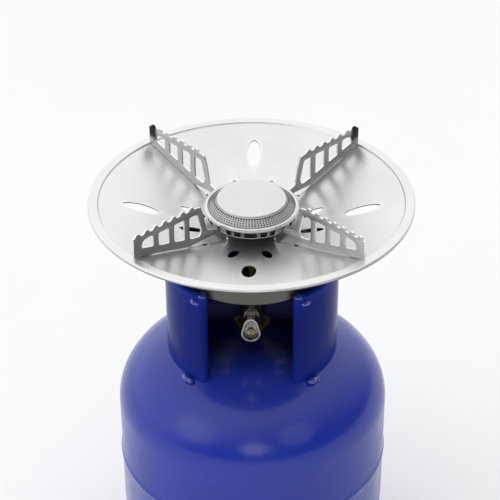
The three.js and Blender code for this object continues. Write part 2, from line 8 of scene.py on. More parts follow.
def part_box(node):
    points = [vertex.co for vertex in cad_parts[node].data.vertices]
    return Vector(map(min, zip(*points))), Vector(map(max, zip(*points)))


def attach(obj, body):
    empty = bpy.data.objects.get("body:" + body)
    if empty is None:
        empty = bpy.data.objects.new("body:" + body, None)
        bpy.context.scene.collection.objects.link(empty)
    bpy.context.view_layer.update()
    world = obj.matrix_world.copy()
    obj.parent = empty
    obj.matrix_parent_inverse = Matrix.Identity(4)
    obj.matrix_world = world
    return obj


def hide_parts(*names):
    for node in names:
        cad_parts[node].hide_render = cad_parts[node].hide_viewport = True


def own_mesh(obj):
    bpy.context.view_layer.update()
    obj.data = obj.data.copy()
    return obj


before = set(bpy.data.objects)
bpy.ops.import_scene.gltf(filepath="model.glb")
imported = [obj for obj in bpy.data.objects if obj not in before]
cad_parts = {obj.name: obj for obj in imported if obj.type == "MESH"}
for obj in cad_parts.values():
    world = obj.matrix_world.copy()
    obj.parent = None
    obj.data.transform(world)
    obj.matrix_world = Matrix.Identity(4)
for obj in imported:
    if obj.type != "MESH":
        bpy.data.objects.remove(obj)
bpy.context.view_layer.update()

# ---- Sizes, in millimetres in the row's frame unless a name says otherwise ----

MM = 0.001
GAP = 0.3


def top_of(node):
    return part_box(node)[1].z / MM


def bottom_of(node):
    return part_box(node)[0].z / MM


def radius_of(node):
    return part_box(node)[1].x / MM


RIM = top_of("dish")  # height of the dish's rim plane
DISH_RADIUS = radius_of("dish")
LIP_RADIUS = 141
LIP_STEP = 1.5
FLOOR_RADIUS = 36
FLOOR_DEPTH = 32.55
DISH_SHEET = 1.0
TANK_RADIUS = radius_of("cylinder_shell")
TANK_BOTTOM = bottom_of("cylinder_shell")
HEAD_DEPTH = 80
BOTTOM_TANGENT = TANK_BOTTOM + HEAD_DEPTH
TOP_TANGENT = 215
COLLAR_RADIUS = radius_of("guard_collar")
COLLAR_TOP = top_of("guard_collar")
COLLAR_OPENING = 31  # half the front opening's angle, in degrees
COLLAR_SHEET = 2.4
BEAD_RADIUS = 3.2  # the guard's rolled top edge
CURL_RADIUS = 3.4  # its curled front edges, to the middle of the sheet
CURL_REACH = 4.5  # from its outside to the middle of a curl
CURL_ANGLE = COLLAR_OPENING + math.degrees(CURL_REACH / (COLLAR_RADIUS - CURL_REACH))
TANK_WALL = 2.5
TANK_INSET = 1.2  # the tank's wall lies this far inside the crest of its weld
NECK_RADIUS = 20.3
LONG_SLOT = (102, 33, 13)  # the dish's slots: middle, length and width
AIR_SLOT = (57, 24, 8)
AIR_SPREAD = 15.3  # from a long slot's line to an air slot's, in degrees
TAB_MIDDLES = (58, 130)
TUBE_RADIUS = 9
TUBE_BORE = 6.5
NUT_BORE = 9.3
NUT_HEIGHT = 6
WASHER_RADIUS = 15.5
WASHER_THICKNESS = 1.5
SPINDLE_HEIGHT = (bottom_of("needle_spindle") + top_of("needle_spindle")) / 2

# ---- Mesh helpers ----


def arc(centre_x, centre_y, radius, start, end, steps):
    """Points on an arc, angles in degrees."""
    points = []
    for k in range(steps + 1):
        angle = math.radians(start + (end - start) * k / steps)
        points.append((centre_x + radius * math.cos(angle), centre_y + radius * math.sin(angle)))
    return points


def shade(mesh, sharp):
    """Smooth shading, with sharp edges past an angle in degrees."""
    mesh.polygons.foreach_set("use_smooth", [True] * len(mesh.polygons))
    mesh.set_sharp_from_angle(angle=math.radians(sharp))


def finish_mesh(mesh, sharp=32):
    """Merges points, turns faces out and shades them."""
    work = bmesh.new()
    work.from_mesh(mesh)
    bmesh.ops.remove_doubles(work, verts=work.verts, dist=1e-6)
    bmesh.ops.dissolve_degenerate(work, edges=work.edges, dist=1e-7)
    bmesh.ops.recalc_face_normals(work, faces=work.faces)
    work.to_mesh(mesh)
    work.free()
    shade(mesh, sharp)
    mesh.update()


def make_object(name, data):
    made = bpy.data.objects.new(name, data)
    bpy.context.scene.collection.objects.link(made)
    return made


def make_mesh(name, points, faces):
    """A mesh from points in millimetres."""
    mesh = bpy.data.meshes.new(name)
    mesh.from_pydata([(x * MM, y * MM, z * MM) for x, y, z in points], [], faces)
    return mesh


def solid(name, points, faces, sharp=32):
    mesh = make_mesh(name, points, faces)
    finish_mesh(mesh, sharp)
    return make_object(name, mesh)


def lathe(name, profile, segments=96, closed=True, ripple=None, sharp=32):
    """Turns (radius, height) pairs about Z. ripple(angle, index) scales a point's radius."""
    points = []
    rings = []
    for index, (radius, height) in enumerate(profile):
        if radius < 1e-6:
            rings.append([len(points)])
            points.append((0, 0, height))
            continue
        ring = []
        for k in range(segments):
            angle = 2 * math.pi * k / segments
            scale = ripple(angle, index) if ripple else 1
            ring.append(len(points))
            points.append((radius * scale * math.cos(angle), radius * scale * math.sin(angle), height))
        rings.append(ring)
    pairs = list(zip(rings, rings[1:]))
    if closed:
        pairs.append((rings[-1], rings[0]))
    faces = []
    for low, high in pairs:
        for k in range(segments):
            after = (k + 1) % segments
            corners = [low[k % len(low)], low[after % len(low)], high[after % len(high)], high[k % len(high)]]
            face = list(dict.fromkeys(corners))
            if len(face) > 2:
                faces.append(face)
    return solid(name, points, faces, sharp)


def prism(name, outline, low, high, chamfer=0.0, sharp=30):
    """Raises a convex outline along Z, with both ends chamfered."""
    count = len(outline)
    levels = [(low, 1), (high, 1)]
    if chamfer:
        reach = max(math.hypot(x, y) for x, y in outline)
        inset = 1 - chamfer / reach
        levels = [(low, inset), (low + chamfer * 0.6, 1), (high - chamfer * 0.6, 1), (high, inset)]
    points = [(x * scale, y * scale, z) for z, scale in levels for x, y in outline]
    faces = [list(range(count)), [count * (len(levels) - 1) + k for k in range(count)]]
    for level in range(len(levels) - 1):
        for k in range(count):
            after = (k + 1) % count
            base = level * count
            faces.append([base + k, base + after, base + count + after, base + count + k])
    return solid(name, points, faces, sharp)


def rod(name, radius, low, high, segments):
    return lathe(name, [(0, low), (radius, low), (radius, high), (0, high)], segments, closed=False)


def hexagon(across):
    corner = across / math.sqrt(3)
    turns = [math.radians(60 * k) for k in range(6)]
    return [(corner * math.cos(angle), corner * math.sin(angle)) for angle in turns]


def ellipse(middle, length, width, steps=36):
    turns = [2 * math.pi * k / steps for k in range(steps)]
    return [(middle + length / 2 * math.cos(angle), width / 2 * math.sin(angle)) for angle in turns]


def move(made, matrix):
    made.data.transform(matrix)
    made.data.update()
    return made


def turn(made, degrees):
    return move(made, Matrix.Rotation(math.radians(degrees), 4, "Z"))


def lay_forward(made, height):
    """Lays a piece built along Z down along -Y, at a height in millimetres."""
    return move(made, Matrix.Translation((0, 0, height * MM)) @ Matrix.Rotation(math.pi / 2, 4, "X"))


def remove(objects):
    for made in objects:
        mesh = made.data
        bpy.data.objects.remove(made)
        bpy.data.meshes.remove(mesh)


def join(made, others):
    """Moves other objects' meshes into one object."""
    work = bmesh.new()
    for part in [made, *others]:
        work.from_mesh(part.data)
    work.to_mesh(made.data)
    work.free()
    remove(others)
    return made


def boolean(made, tools):
    """Cuts the tools away, and leaves the result as the object's own mesh."""
    for tool in tools:
        modifier = made.modifiers.new("cut", "BOOLEAN")
        modifier.operation = "DIFFERENCE"
        modifier.solver = "EXACT"
        modifier.object = tool
        bake(made)
    remove(tools)
    return made


def evaluated(made):
    """A new mesh of an object as it stands, curves and modifiers included."""
    bpy.context.view_layer.update()
    graph = bpy.context.evaluated_depsgraph_get()
    return bpy.data.meshes.new_from_object(made.evaluated_get(graph))


def bake(made):
    """Applies an object's modifiers to its mesh."""
    mesh = evaluated(made)
    old = made.data
    made.modifiers.clear()
    made.data = mesh
    bpy.data.meshes.remove(old)


def cone_normals(made, inner, outer, slope, heights):
    """Smooth normals on the cone between two radii, so cut holes leave no shading marks."""
    mesh = made.data
    low, high = heights
    normals = [Vector(loop.vector) for loop in mesh.corner_normals]
    for face in mesh.polygons:
        centre = face.center / MM
        radius = math.hypot(centre.x, centre.y)
        if not (inner < radius < outer and low < centre.z < high and abs(face.normal.z) > 0.8):
            continue
        side = 1 if face.normal.z > 0 else -1
        for corner in face.loop_indices:
            spot = mesh.vertices[mesh.loops[corner].vertex_index].co
            length = math.hypot(spot.x, spot.y)
            lean = Vector((-slope * spot.x / length, -slope * spot.y / length, 1))
            normals[corner] = side * lean.normalized()
    mesh.normals_split_custom_set(normals)


def plate(name, outline, holes, thickness, edge):
    """A flat sheet with eased edges, drawn in X and Y, its middle at Z = 0."""
    curve = bpy.data.curves.new(name, "CURVE")
    curve.dimensions = "2D"
    curve.fill_mode = "BOTH"
    curve.extrude = (thickness / 2 - edge) * MM
    curve.bevel_depth = edge * MM
    curve.bevel_resolution = 1
    curve.offset = -edge * MM
    for loop in [outline, *holes]:
        spline = curve.splines.new("POLY")
        spline.points.add(len(loop) - 1)
        for spot, (x, y) in zip(spline.points, loop):
            spot.co = (x * MM, y * MM, 0, 1)
        spline.use_cyclic_u = True
    drawn = make_object(name + "_curve", curve)
    mesh = evaluated(drawn)
    bpy.data.objects.remove(drawn)
    bpy.data.curves.remove(curve)
    finish_mesh(mesh, 40)
    return make_object(name, mesh)


def eased(corners, ease, steps=4):
    """A closed outline with each corner rounded by a quadratic curve."""
    outline = []
    count = len(corners)
    for k in range(count):
        corner = Vector(corners[k])
        before = Vector(corners[k - 1])
        after = Vector(corners[(k + 1) % count])
        start = corner.lerp(before, min(0.45, ease / (corner - before).length))
        end = corner.lerp(after, min(0.45, ease / (corner - after).length))
        for step in range(steps + 1):
            t = step / steps
            spot = start * (1 - t) ** 2 + corner * 2 * t * (1 - t) + end * t**2
            outline.append((spot.x, spot.y))
    return outline


# ---- Materials ----


class Nodes:
    """A material's node tree, built by short calls."""

    def __init__(self, name):
        self.material = bpy.data.materials.new(name)
        self.material.use_nodes = True
        self.tree = self.material.node_tree
        self.shader = self.tree.nodes["Principled BSDF"]
        self.place = self.add("ShaderNodeTexCoord").outputs["Object"]

    def add(self, kind, inputs=None, **values):
        """A node with its settings, and its inputs as values or as other nodes' outputs."""
        node = self.tree.nodes.new(kind)
        for key, value in values.items():
            setattr(node, key, value)
        return self.fill(node, inputs or {})

    def fill(self, node, inputs):
        for key, value in inputs.items():
            if isinstance(value, (int, float, tuple)):
                node.inputs[key].default_value = value
            else:
                self.tree.links.new(value, node.inputs[key])
        return node

    def stretched(self, scale):
        return self.add("ShaderNodeMapping", {"Scale": scale, "Vector": self.place}).outputs["Vector"]

    def noise(self, scale, detail=3.0, vector=None):
        inputs = {"Scale": scale, "Detail": detail, "Roughness": 0.55, "Vector": vector or self.place}
        return self.add("ShaderNodeTexNoise", inputs).outputs["Fac"]

    def spread(self, value, low, high, start=0.3, end=0.7):
        """Carries a value's run from start to end over to low to high."""
        inputs = {"From Min": start, "From Max": end, "To Min": low, "To Max": high, "Value": value}
        return self.add("ShaderNodeMapRange", inputs).outputs["Result"]

    def mix(self, factor, first, second):
        inputs = {"Factor": factor}
        for key, value in (("A", first), ("B", second)):
            inputs[key] = (*value, 1) if isinstance(value, tuple) else value
        return self.add("ShaderNodeMix", inputs, data_type="RGBA").outputs["Result"]

    def add_values(self, first, second, weight):
        inputs = {0: second, 1: weight, 2: first}
        return self.add("ShaderNodeMath", inputs, operation="MULTIPLY_ADD").outputs["Value"]

    def multiply(self, first, second):
        return self.add("ShaderNodeMath", {0: first, 1: second}, operation="MULTIPLY").outputs["Value"]

    def split(self):
        """The piece's own radius, Y and Z, in metres."""
        length = self.add("ShaderNodeVectorMath", {0: self.stretched((1, 1, 0))}, operation="LENGTH")
        axes = self.add("ShaderNodeSeparateXYZ", {0: self.place})
        return length.outputs["Value"], axes.outputs["Y"], axes.outputs["Z"]

    def inside_guard(self, depths, heights=(0.27, 0.28)):
        """Within the guard's inner wall, growing in over a run of depth (Y) and of height."""
        radius, depth, height = self.split()
        wall = (COLLAR_RADIUS - COLLAR_SHEET) * MM
        near = self.spread(radius, 1, 0, wall + 0.0003, wall + 0.0007)
        within = self.multiply(near, self.spread(height, 0, 1, *heights))
        return self.multiply(within, self.spread(depth, 0, 1, *depths))

    def back_ends(self):
        """The outer ends of the two back supports, above the rim, which take a painted dark reflection."""
        radius, depth, height = self.split()
        outside = self.multiply(self.spread(radius, 0, 1, 0.129, 0.1335), self.spread(depth, 0, 1, 0, 0.01))
        return self.multiply(outside, self.spread(height, 0, 1, 0.444, 0.449))

    def edges(self, low=0.5, high=0.56):
        pointed = self.add("ShaderNodeNewGeometry").outputs["Pointiness"]
        return self.spread(pointed, 0, 1, low, high)

    def bump(self, height, strength, distance=0.0002):
        inputs = {"Strength": strength, "Distance": distance, "Height": height}
        self.set(Normal=self.add("ShaderNodeBump", inputs).outputs["Normal"])

    def set(self, **values):
        self.fill(self.shader, {key.replace("_", " "): value for key, value in values.items()})
        return self.material


def grey(tone):
    return (tone, tone, tone)


def brushed_steel(name, dark, light, rough=(0.26, 0.4), bump=0.12, painted_dark_tips=False):
    """Sheet steel brushed along X: fine grain, cloudy patches, brighter worn edges and, if asked, a painted
    dark reflection on the back supports' outer ends.
    """
    nodes = Nodes(name)
    lines = nodes.noise(1.0, 4, nodes.stretched((25, 900, 900)))
    clouds = nodes.noise(14.0, 3)
    tone = nodes.mix(nodes.spread(clouds, 0, 1), dark, light)
    streaked = nodes.mix(nodes.spread(lines, 0, 0.5), tone, light)
    edged_tone = nodes.mix(nodes.edges(), streaked, tuple(min(1, c * 1.08) for c in light))
    if painted_dark_tips:
        # Painted dark reflection: the back supports' outer ends laid nearly black.
        edged_tone = nodes.mix(nodes.back_ends(), edged_tone, grey(0.012))
    roughness = nodes.add_values(nodes.spread(lines, *rough), nodes.spread(clouds, -0.5, 0.5), 0.06)
    nodes.bump(lines, bump)
    return nodes.set(Base_Color=edged_tone, Metallic=0.9, Roughness=roughness)


def turned_steel(name, dark, light, rough=(0.18, 0.3), rings=1500.0, bump=0.08):
    """Steel finished on a lathe: fine rings about Z."""
    nodes = Nodes(name)
    inputs = {"Scale": rings, "Distortion": 1.5, "Detail": 2, "Vector": nodes.place}
    wave = nodes.add("ShaderNodeTexWave", inputs, wave_type="RINGS", rings_direction="Z")
    clouds = nodes.noise(60.0, 3)
    tone = nodes.mix(nodes.spread(clouds, 0, 1), dark, light)
    edged_tone = nodes.mix(nodes.edges(), tone, tuple(min(1, c * 1.1) for c in light))
    nodes.bump(wave.outputs["Fac"], bump, 0.0001)
    return nodes.set(Base_Color=edged_tone, Metallic=0.95, Roughness=nodes.spread(clouds, *rough))


def enamel(name, deep, bright, gloss=0.22, coat=0.12, rough=(0.16, 0.3)):
    """Glossy paint with a little orange peel and cloudy depth, with painted shade and painted light inside
    the guard.
    """
    nodes = Nodes(name)
    clouds = nodes.noise(9.0, 4)
    peel = nodes.noise(420.0, 2)
    waves = nodes.noise(28.0, 2)
    colour = nodes.mix(nodes.spread(clouds, 0, 1), deep, bright)
    rubbed = nodes.mix(nodes.edges(0.53, 0.62), colour, tuple(c * 1.5 for c in bright))
    # Painted shade: the paint darkened to about a fifth of its deep tone inside the guard, near its front
    # opening.
    painted_front_shade = nodes.mix(nodes.inside_guard((-0.066, -0.03)), rubbed, tuple(c * 0.22 for c in deep))
    # Painted light: a pale blue-grey laid inside the guard towards its back, for light bounced off its inner
    # wall.
    painted_back_light = nodes.mix(nodes.inside_guard((0.01, 0.045)), painted_front_shade, (0.15, 0.15, 0.46))
    # Painted shade: the paint darkened to a fifth of its deep tone inside the guard, between its front and
    # middle, from 306 mm up.
    painted_middle_shade = nodes.mix(nodes.inside_guard((-0.03, 0), (0.306, 0.318)), painted_back_light, tuple(c * 0.2 for c in deep))
    height = nodes.add_values(peel, waves, 2.5)
    nodes.bump(height, 0.06, 0.0003)
    roughness = nodes.spread(nodes.noise(30.0, 4), *rough)
    return nodes.set(
        Base_Color=painted_middle_shade, Roughness=roughness, Coat_Weight=coat, Coat_Roughness=0.05, Specular_IOR_Level=gloss
    )


def plated(name, dark, light, rough=(0.22, 0.42)):
    """Plated brass, tarnished in its hollows and bright on its edges."""
    nodes = Nodes(name)
    patches = nodes.noise(260.0, 5)
    tone = nodes.mix(nodes.spread(patches, 0, 1), dark, light)
    edged_tone = nodes.mix(nodes.edges(0.5, 0.6), tone, tuple(min(1, c * 1.5) for c in light))
    nodes.bump(nodes.noise(1800.0, 3), 0.1, 0.0001)
    return nodes.set(Base_Color=edged_tone, Metallic=0.95, Roughness=nodes.spread(patches, *rough))


def matt_rubber(name):
    nodes = Nodes(name)
    speckle = nodes.noise(900.0, 3)
    colour = nodes.mix(speckle, grey(0.012), grey(0.03))
    nodes.bump(speckle, 0.2, 0.0001)
    return nodes.set(Base_Color=colour, Roughness=nodes.spread(speckle, 0.6, 0.8))


PAINT = enamel("blue_enamel", (0.010, 0.028, 0.30), (0.014, 0.034, 0.36), 0.36)
# Painted shade: a darker copy of the blue enamel for the guard, so its upright sheet looks less lit than the
# tank.
SHADED_GUARD_PAINT = enamel("guard_shaded_blue_enamel", (0.005, 0.014, 0.15), (0.007, 0.018, 0.19), 0.03, 0.0)
WELD_PAINT = enamel("weld_blue_enamel", (0.012, 0.03, 0.26), (0.02, 0.045, 0.36), 0.5, 1.0, (0.06, 0.12))
DISH_STEEL = brushed_steel("dish_brushed_steel", grey(0.6), grey(0.68), (0.3, 0.33), 0.004)
# Painted shade: the dish steel made far darker on its underside and the rim bead's lower half.
SHADED_UNDER_STEEL = brushed_steel("dish_underside_shaded_steel", grey(0.1), grey(0.14), (0.35, 0.45), 0.03)
# Painted shade: the support steel darker than the dish's, for the supports whose faces turn from the light.
SHADED_SUPPORT_STEEL = brushed_steel("support_shade_side_steel", grey(0.25), grey(0.34), (0.26, 0.38), 0.06, True)
EDGE_STEEL = brushed_steel("support_sheared_edge", grey(0.62), grey(0.8), (0.25, 0.4), 0.1, True)
# Painted light and shade: a lighter copy of the support steel, for the supports whose faces catch the light.
LIT_SUPPORT_STEEL = brushed_steel("support_lit_side_steel", grey(0.42), grey(0.52), (0.26, 0.38), 0.06, True)
SKIRT_STEEL = brushed_steel("skirt_grey_steel", (0.085, 0.085, 0.078), (0.12, 0.12, 0.11), (0.34, 0.48), 0.08)
CAP_STEEL = brushed_steel("cap_satin_steel", grey(0.54), grey(0.63), (0.3, 0.4), 0.05)
BURNER_STEEL = turned_steel("burner_turned_steel", grey(0.5), grey(0.64))
PORT_STEEL = turned_steel("port_ring_steel", grey(0.3), grey(0.42), (0.25, 0.35))
# Painted shade: a nearly black copy of the burner steel for the bowl's hub, underside and inside.
SHADED_BURNER_STEEL = turned_steel("burner_shaded_steel", grey(0.015), grey(0.035), (0.4, 0.55))
NICKEL = plated("worn_nickel", (0.10, 0.09, 0.075), (0.36, 0.34, 0.31))
BRASS = plated("dull_brass", (0.17, 0.12, 0.045), (0.40, 0.31, 0.13), (0.3, 0.5))
DARK_BRASS = plated("browned_brass", (0.012, 0.010, 0.006), (0.03, 0.024, 0.012), (0.4, 0.6))
WIRE = plated("spring_wire", grey(0.35), grey(0.55))
RUBBER = matt_rubber("black_rubber")


def two_tone(piece, first, second, picks):
    """Gives a piece a second material on the faces that picks() chooses."""
    piece.data.materials.append(first)
    piece.data.materials.append(second)
    for face in piece.data.polygons:
        face.material_index = 1 if picks(face) else 0
    return piece


def place(piece, material, body, slot, *nodes):
    """Gives a piece its material if it has none, puts it under its body and hides the CAD nodes it stands
    for; the slot is not used.
    """
    if not piece.data.materials:
        piece.data.materials.append(material)
    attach(piece, body)
    if nodes:
        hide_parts(*nodes)
    return piece


# ---- Gas cylinder ----


def head_height(radius, tangent=TOP_TANGENT, side=1, grow=0.0):
    share = min(1, radius / (TANK_RADIUS + grow))
    return tangent + side * (HEAD_DEPTH + grow) * math.sqrt(1 - share * share)


def head_points(tangent, side, start, end, steps, grow=0.0):
    points = []
    for k in range(steps + 1):
        polar = math.radians(start + (end - start) * k / steps)
        radius = (TANK_RADIUS + grow) * math.sin(polar)
        points.append((radius, tangent + side * (HEAD_DEPTH + grow) * math.cos(polar)))
    return points


def make_shell():
    """Two pressed heads and a wall, with the weld round the middle."""
    neck = math.degrees(math.asin(NECK_RADIUS / TANK_RADIUS))
    middle = (TOP_TANGENT + BOTTOM_TANGENT) / 2
    wall = TANK_RADIUS - TANK_INSET
    width, steps = 8, 8
    weld = [(wall, middle + 0.65 * width)]
    for k in range(1, steps):
        crest = TANK_INSET * math.sin(math.pi * k / steps)
        weld.append((wall + crest, middle + width * (0.5 - k / steps)))
    weld.append((wall, middle - 0.65 * width))
    outside = head_points(TOP_TANGENT, 1, neck, 90, 40, -TANK_INSET) + weld
    outside += head_points(BOTTOM_TANGENT, -1, 90, 0, 36, -TANK_INSET)
    inside = head_points(BOTTOM_TANGENT, -1, 0, 90, 12, -TANK_WALL - TANK_INSET)
    inside += head_points(TOP_TANGENT, 1, 90, neck, 12, -TANK_WALL - TANK_INSET)
    return lathe("gas_cylinder_shell", outside + inside, 160)


def make_foot_ring():
    """Ring under the lower head, with a rolled foot and three vents."""
    inner, outer = 103, 106
    roll_middle, roll, bend = 104.6, 3.4, 8
    profile = [(outer, head_height(outer, BOTTOM_TANGENT, -1) - TANK_INSET), (outer, bend)]
    profile += arc(roll_middle, roll, roll, 40, -220, 14)
    profile += [(inner, bend), (inner, head_height(inner, BOTTOM_TANGENT, -1) - TANK_INSET)]
    ring = lathe("cylinder_foot_ring", profile, 160)
    vent = eased([(-12, -5.5), (12, -5.5), (12, 5.5), (-12, 5.5)], 3)
    vent_height = 23
    cutters = []
    for angle in (30, 150, 270):
        cutter = prism("vent", vent, inner - 8, outer + 9)
        cutters.append(turn(lay_forward(cutter, vent_height), angle))
    return boolean(ring, cutters)


def collar_path():
    """Plan of the guard's sheet: an inward curl, the round wall and the other curl, front at -Y."""
    middle = COLLAR_RADIUS - COLLAR_SHEET / 2
    start = CURL_ANGLE - 90
    sweep = 290
    reach = middle - CURL_RADIUS
    centre = (reach * math.cos(math.radians(start)), reach * math.sin(math.radians(start)))
    roll = arc(*centre, CURL_RADIUS, start - sweep, start, 22)
    right = roll[:-1] + arc(0, 0, middle, start, 90, 60)
    left = [(-x, y) for x, y in reversed(right[:-1])]
    return right + left


def make_collar():
    """The guard: one sheet with curled front edges, standing on the tank's head."""
    path = collar_path()
    top = COLLAR_TOP - BEAD_RADIUS
    sunk = 0.5  # the sheet's foot stands this deep in the head
    rows = 6
    points = []
    count = len(path)
    for k, (x, y) in enumerate(path):
        before = path[max(k - 1, 0)]
        after = path[min(k + 1, count - 1)]
        along = Vector((after[0] - before[0], after[1] - before[1])).normalized()
        side = Vector((along.y, -along.x)) * COLLAR_SHEET / 2
        for px, py in ((x + side.x, y + side.y), (x - side.x, y - side.y)):
            foot = head_height(math.hypot(px, py), grow=-TANK_INSET) - sunk
            points += [(px, py, foot + (top - foot) * row / rows) for row in range(rows + 1)]
    stride = rows + 1
    faces = []
    for k in range(count - 1):
        out, inn = k * 2 * stride, (k * 2 + 1) * stride
        for base in (out, inn):
            for low in range(base, base + rows):
                faces.append([low, low + 2 * stride, low + 2 * stride + 1, low + 1])
        for row in (0, rows):
            faces.append([out + row, inn + row, inn + 2 * stride + row, out + 2 * stride + row])
    for k in (0, count - 1):
        out, inn = k * 2 * stride, (k * 2 + 1) * stride
        for row in range(rows):
            faces.append([out + row, inn + row, inn + row + 1, out + row + 1])
    return solid("guard_collar_sheet", points, faces, 40)


def pipe(name, spine, radii, sides=16):
    """A tube along a spine of (x, y, z) points, from its outer radius and its bore's, or a plain rod."""
    points, faces = [], []
    count, stride = len(spine), sides * len(radii)
    for k, spot in enumerate(spine):
        before, after = Vector(spine[max(k - 1, 0)]), Vector(spine[min(k + 1, count - 1)])
        along = (after - before).normalized()
        side = along.cross(Vector((0, 0, 1))).normalized()
        up = side.cross(along)
        for radius in radii:
            for step in range(sides):
                angle = 2 * math.pi * step / sides
                points.append(tuple(Vector(spot) + radius * (math.cos(angle) * side + math.sin(angle) * up)))
    for k in range(count - 1):
        for base in range(k * stride, (k + 1) * stride, sides):
            for step in range(sides):
                after = (step + 1) % sides
                faces.append([base + step, base + after, base + stride + after, base + stride + step])
    for base in (0, (count - 1) * stride):
        if len(radii) == 1:
            faces.append(list(range(base, base + sides)))
            continue
        for step in range(sides):
            after = (step + 1) % sides
            faces.append([base + step, base + after, base + sides + after, base + sides + step])
    return solid(name, points, faces, 40)


def make_collar_bead():
    """The rolled top edge of the guard, open at its two ends."""
    setback = 4.6  # from the opening to the bead's end, in degrees
    start = COLLAR_OPENING + setback - 90
    run = arc(0, 0, COLLAR_RADIUS - BEAD_RADIUS, start, 180 - start, 110)
    spine = [(x, y, COLLAR_TOP - BEAD_RADIUS) for x, y in run]
    return pipe("guard_collar_bead", spine, (BEAD_RADIUS, 1.9))


def make_weld(name, angle, length, radius, height, bead):
    """A lumpy run of weld along a circle: overlapping drops, melted together."""
    points, faces = [], []
    drops, rings, sides = 4, 6, 10
    flatness = 0.8
    for drop in range(drops):
        turned = math.radians(angle + length * (drop / (drops - 1) - 0.5))
        size = bead * (1 + 0.25 * math.sin(drop * 2.1))
        level = height + 0.5 * math.sin(drop * 3.7)
        centre = Vector((radius * math.cos(turned), radius * math.sin(turned), level))
        base = len(points)
        for ring in range(1, rings):
            polar = math.pi * ring / rings
            for side in range(sides):
                around = 2 * math.pi * side / sides
                flat = Vector((math.cos(around), math.sin(around), 0)) * math.sin(polar)
                points.append(tuple(centre + size * (flat + Vector((0, 0, flatness * math.cos(polar))))))
        top, bottom = len(points), len(points) + 1
        pole = Vector((0, 0, flatness * size))
        points += [tuple(centre + pole), tuple(centre - pole)]
        for side in range(sides):
            after = (side + 1) % sides
            faces.append([top, base + side, base + after])
            faces.append([bottom, base + (rings - 2) * sides + after, base + (rings - 2) * sides + side])
            for ring in range(rings - 2):
                low = base + ring * sides
                faces.append([low + side, low + after, low + sides + after, low + sides + side])
    weld = solid(name, points, faces, 60)
    remesh = weld.modifiers.new("melt", "REMESH")
    remesh.mode = "VOXEL"
    remesh.voxel_size = 0.45 * MM
    smooth = weld.modifiers.new("flow", "SMOOTH")
    smooth.iterations = 4
    bake(weld)
    finish_mesh(weld.data, 80)
    return weld


def make_plug(name, side):
    """Weld that fills the top of a rolled front edge."""
    turned = math.radians(CURL_ANGLE)
    middle = COLLAR_RADIUS - COLLAR_SHEET / 2 - CURL_RADIUS
    low = COLLAR_TOP - 8.2
    profile = [(0, 0), (2.1, 0), (2.1, 5.05), (4.3, 5.05), (4.4, 5.9), (3.5, 7.2), (1.8, 7.7), (0, 7.9)]
    plug = lathe(name, profile, 32, closed=False, sharp=60)
    spot = Vector((side * middle * math.sin(turned), -middle * math.cos(turned), low)) * MM
    return move(plug, Matrix.Translation(spot))


def make_neck_boss():
    low, high, bore, outer, ease = 280, 296.5, 13.3, 20, 1.8
    profile = [(bore, low), (outer, low), *arc(outer - ease, high - ease, ease, 0, 90, 6)]
    profile += [(bore + 1, high), (bore, high - 1)]
    return lathe("neck_boss_ring", profile, 64)


def make_cylinder_valve():
    """Hexagon on the neck boss, with the nose's socket over the check pin's chamber."""
    low, high, thread, bottom = 296.8, 302, 13, 264
    socket, socket_low = 8.6, 288
    chamber, chamber_high, stem_hole = 6, 282, 2.6
    flange = prism("cylinder_valve", hexagon(30), low, high, 1.2)
    body = boolean(flange, [rod("bore", socket, socket_low - 0.1, high + 1, 48)])
    profile = [(socket, low + 0.1), (thread, low + 0.1), (thread, bottom), (chamber, bottom)]
    profile += [(chamber, chamber_high), (stem_hole, chamber_high)]
    profile += [(stem_hole, socket_low), (socket, socket_low)]
    return join(body, [lathe("thread", profile, 48)])


def make_spring():
    """Coil spring under the check pin."""
    low, high = bottom_of("check_spring"), top_of("check_spring")
    wire, coil, turns, steps = 0.45, 3.6, 4.5, 24
    run = int(turns * steps)
    spine = []
    for k in range(run + 1):
        angle = 2 * math.pi * k / steps
        level = low + wire + (high - low - 2 * wire) * k / run
        spine.append((coil * math.cos(angle), coil * math.sin(angle), level))
    spring = pipe("check_valve_spring", spine, (wire,), 10)
    place(spring, WIRE, "gas_cylinder", "spring_steel", "check_spring")
    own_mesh(spring)


# ---- Dish and pan supports ----


def dish_height(radius):
    """Height of the dish's upper surface in the row's frame."""
    radius = min(max(radius, FLOOR_RADIUS), LIP_RADIUS)
    share = (LIP_RADIUS - radius) / (LIP_RADIUS - FLOOR_RADIUS)
    return RIM - LIP_STEP - (FLOOR_DEPTH - LIP_STEP) * share


def under_dish(radius):
    """Height of the space just under the dish, from the rim plane."""
    return dish_height(radius) - RIM - DISH_SHEET - GAP - 0.1


def on_dish(radius):
    """Height of a piece's foot on the dish, from the rim plane."""
    return dish_height(radius) - RIM + GAP


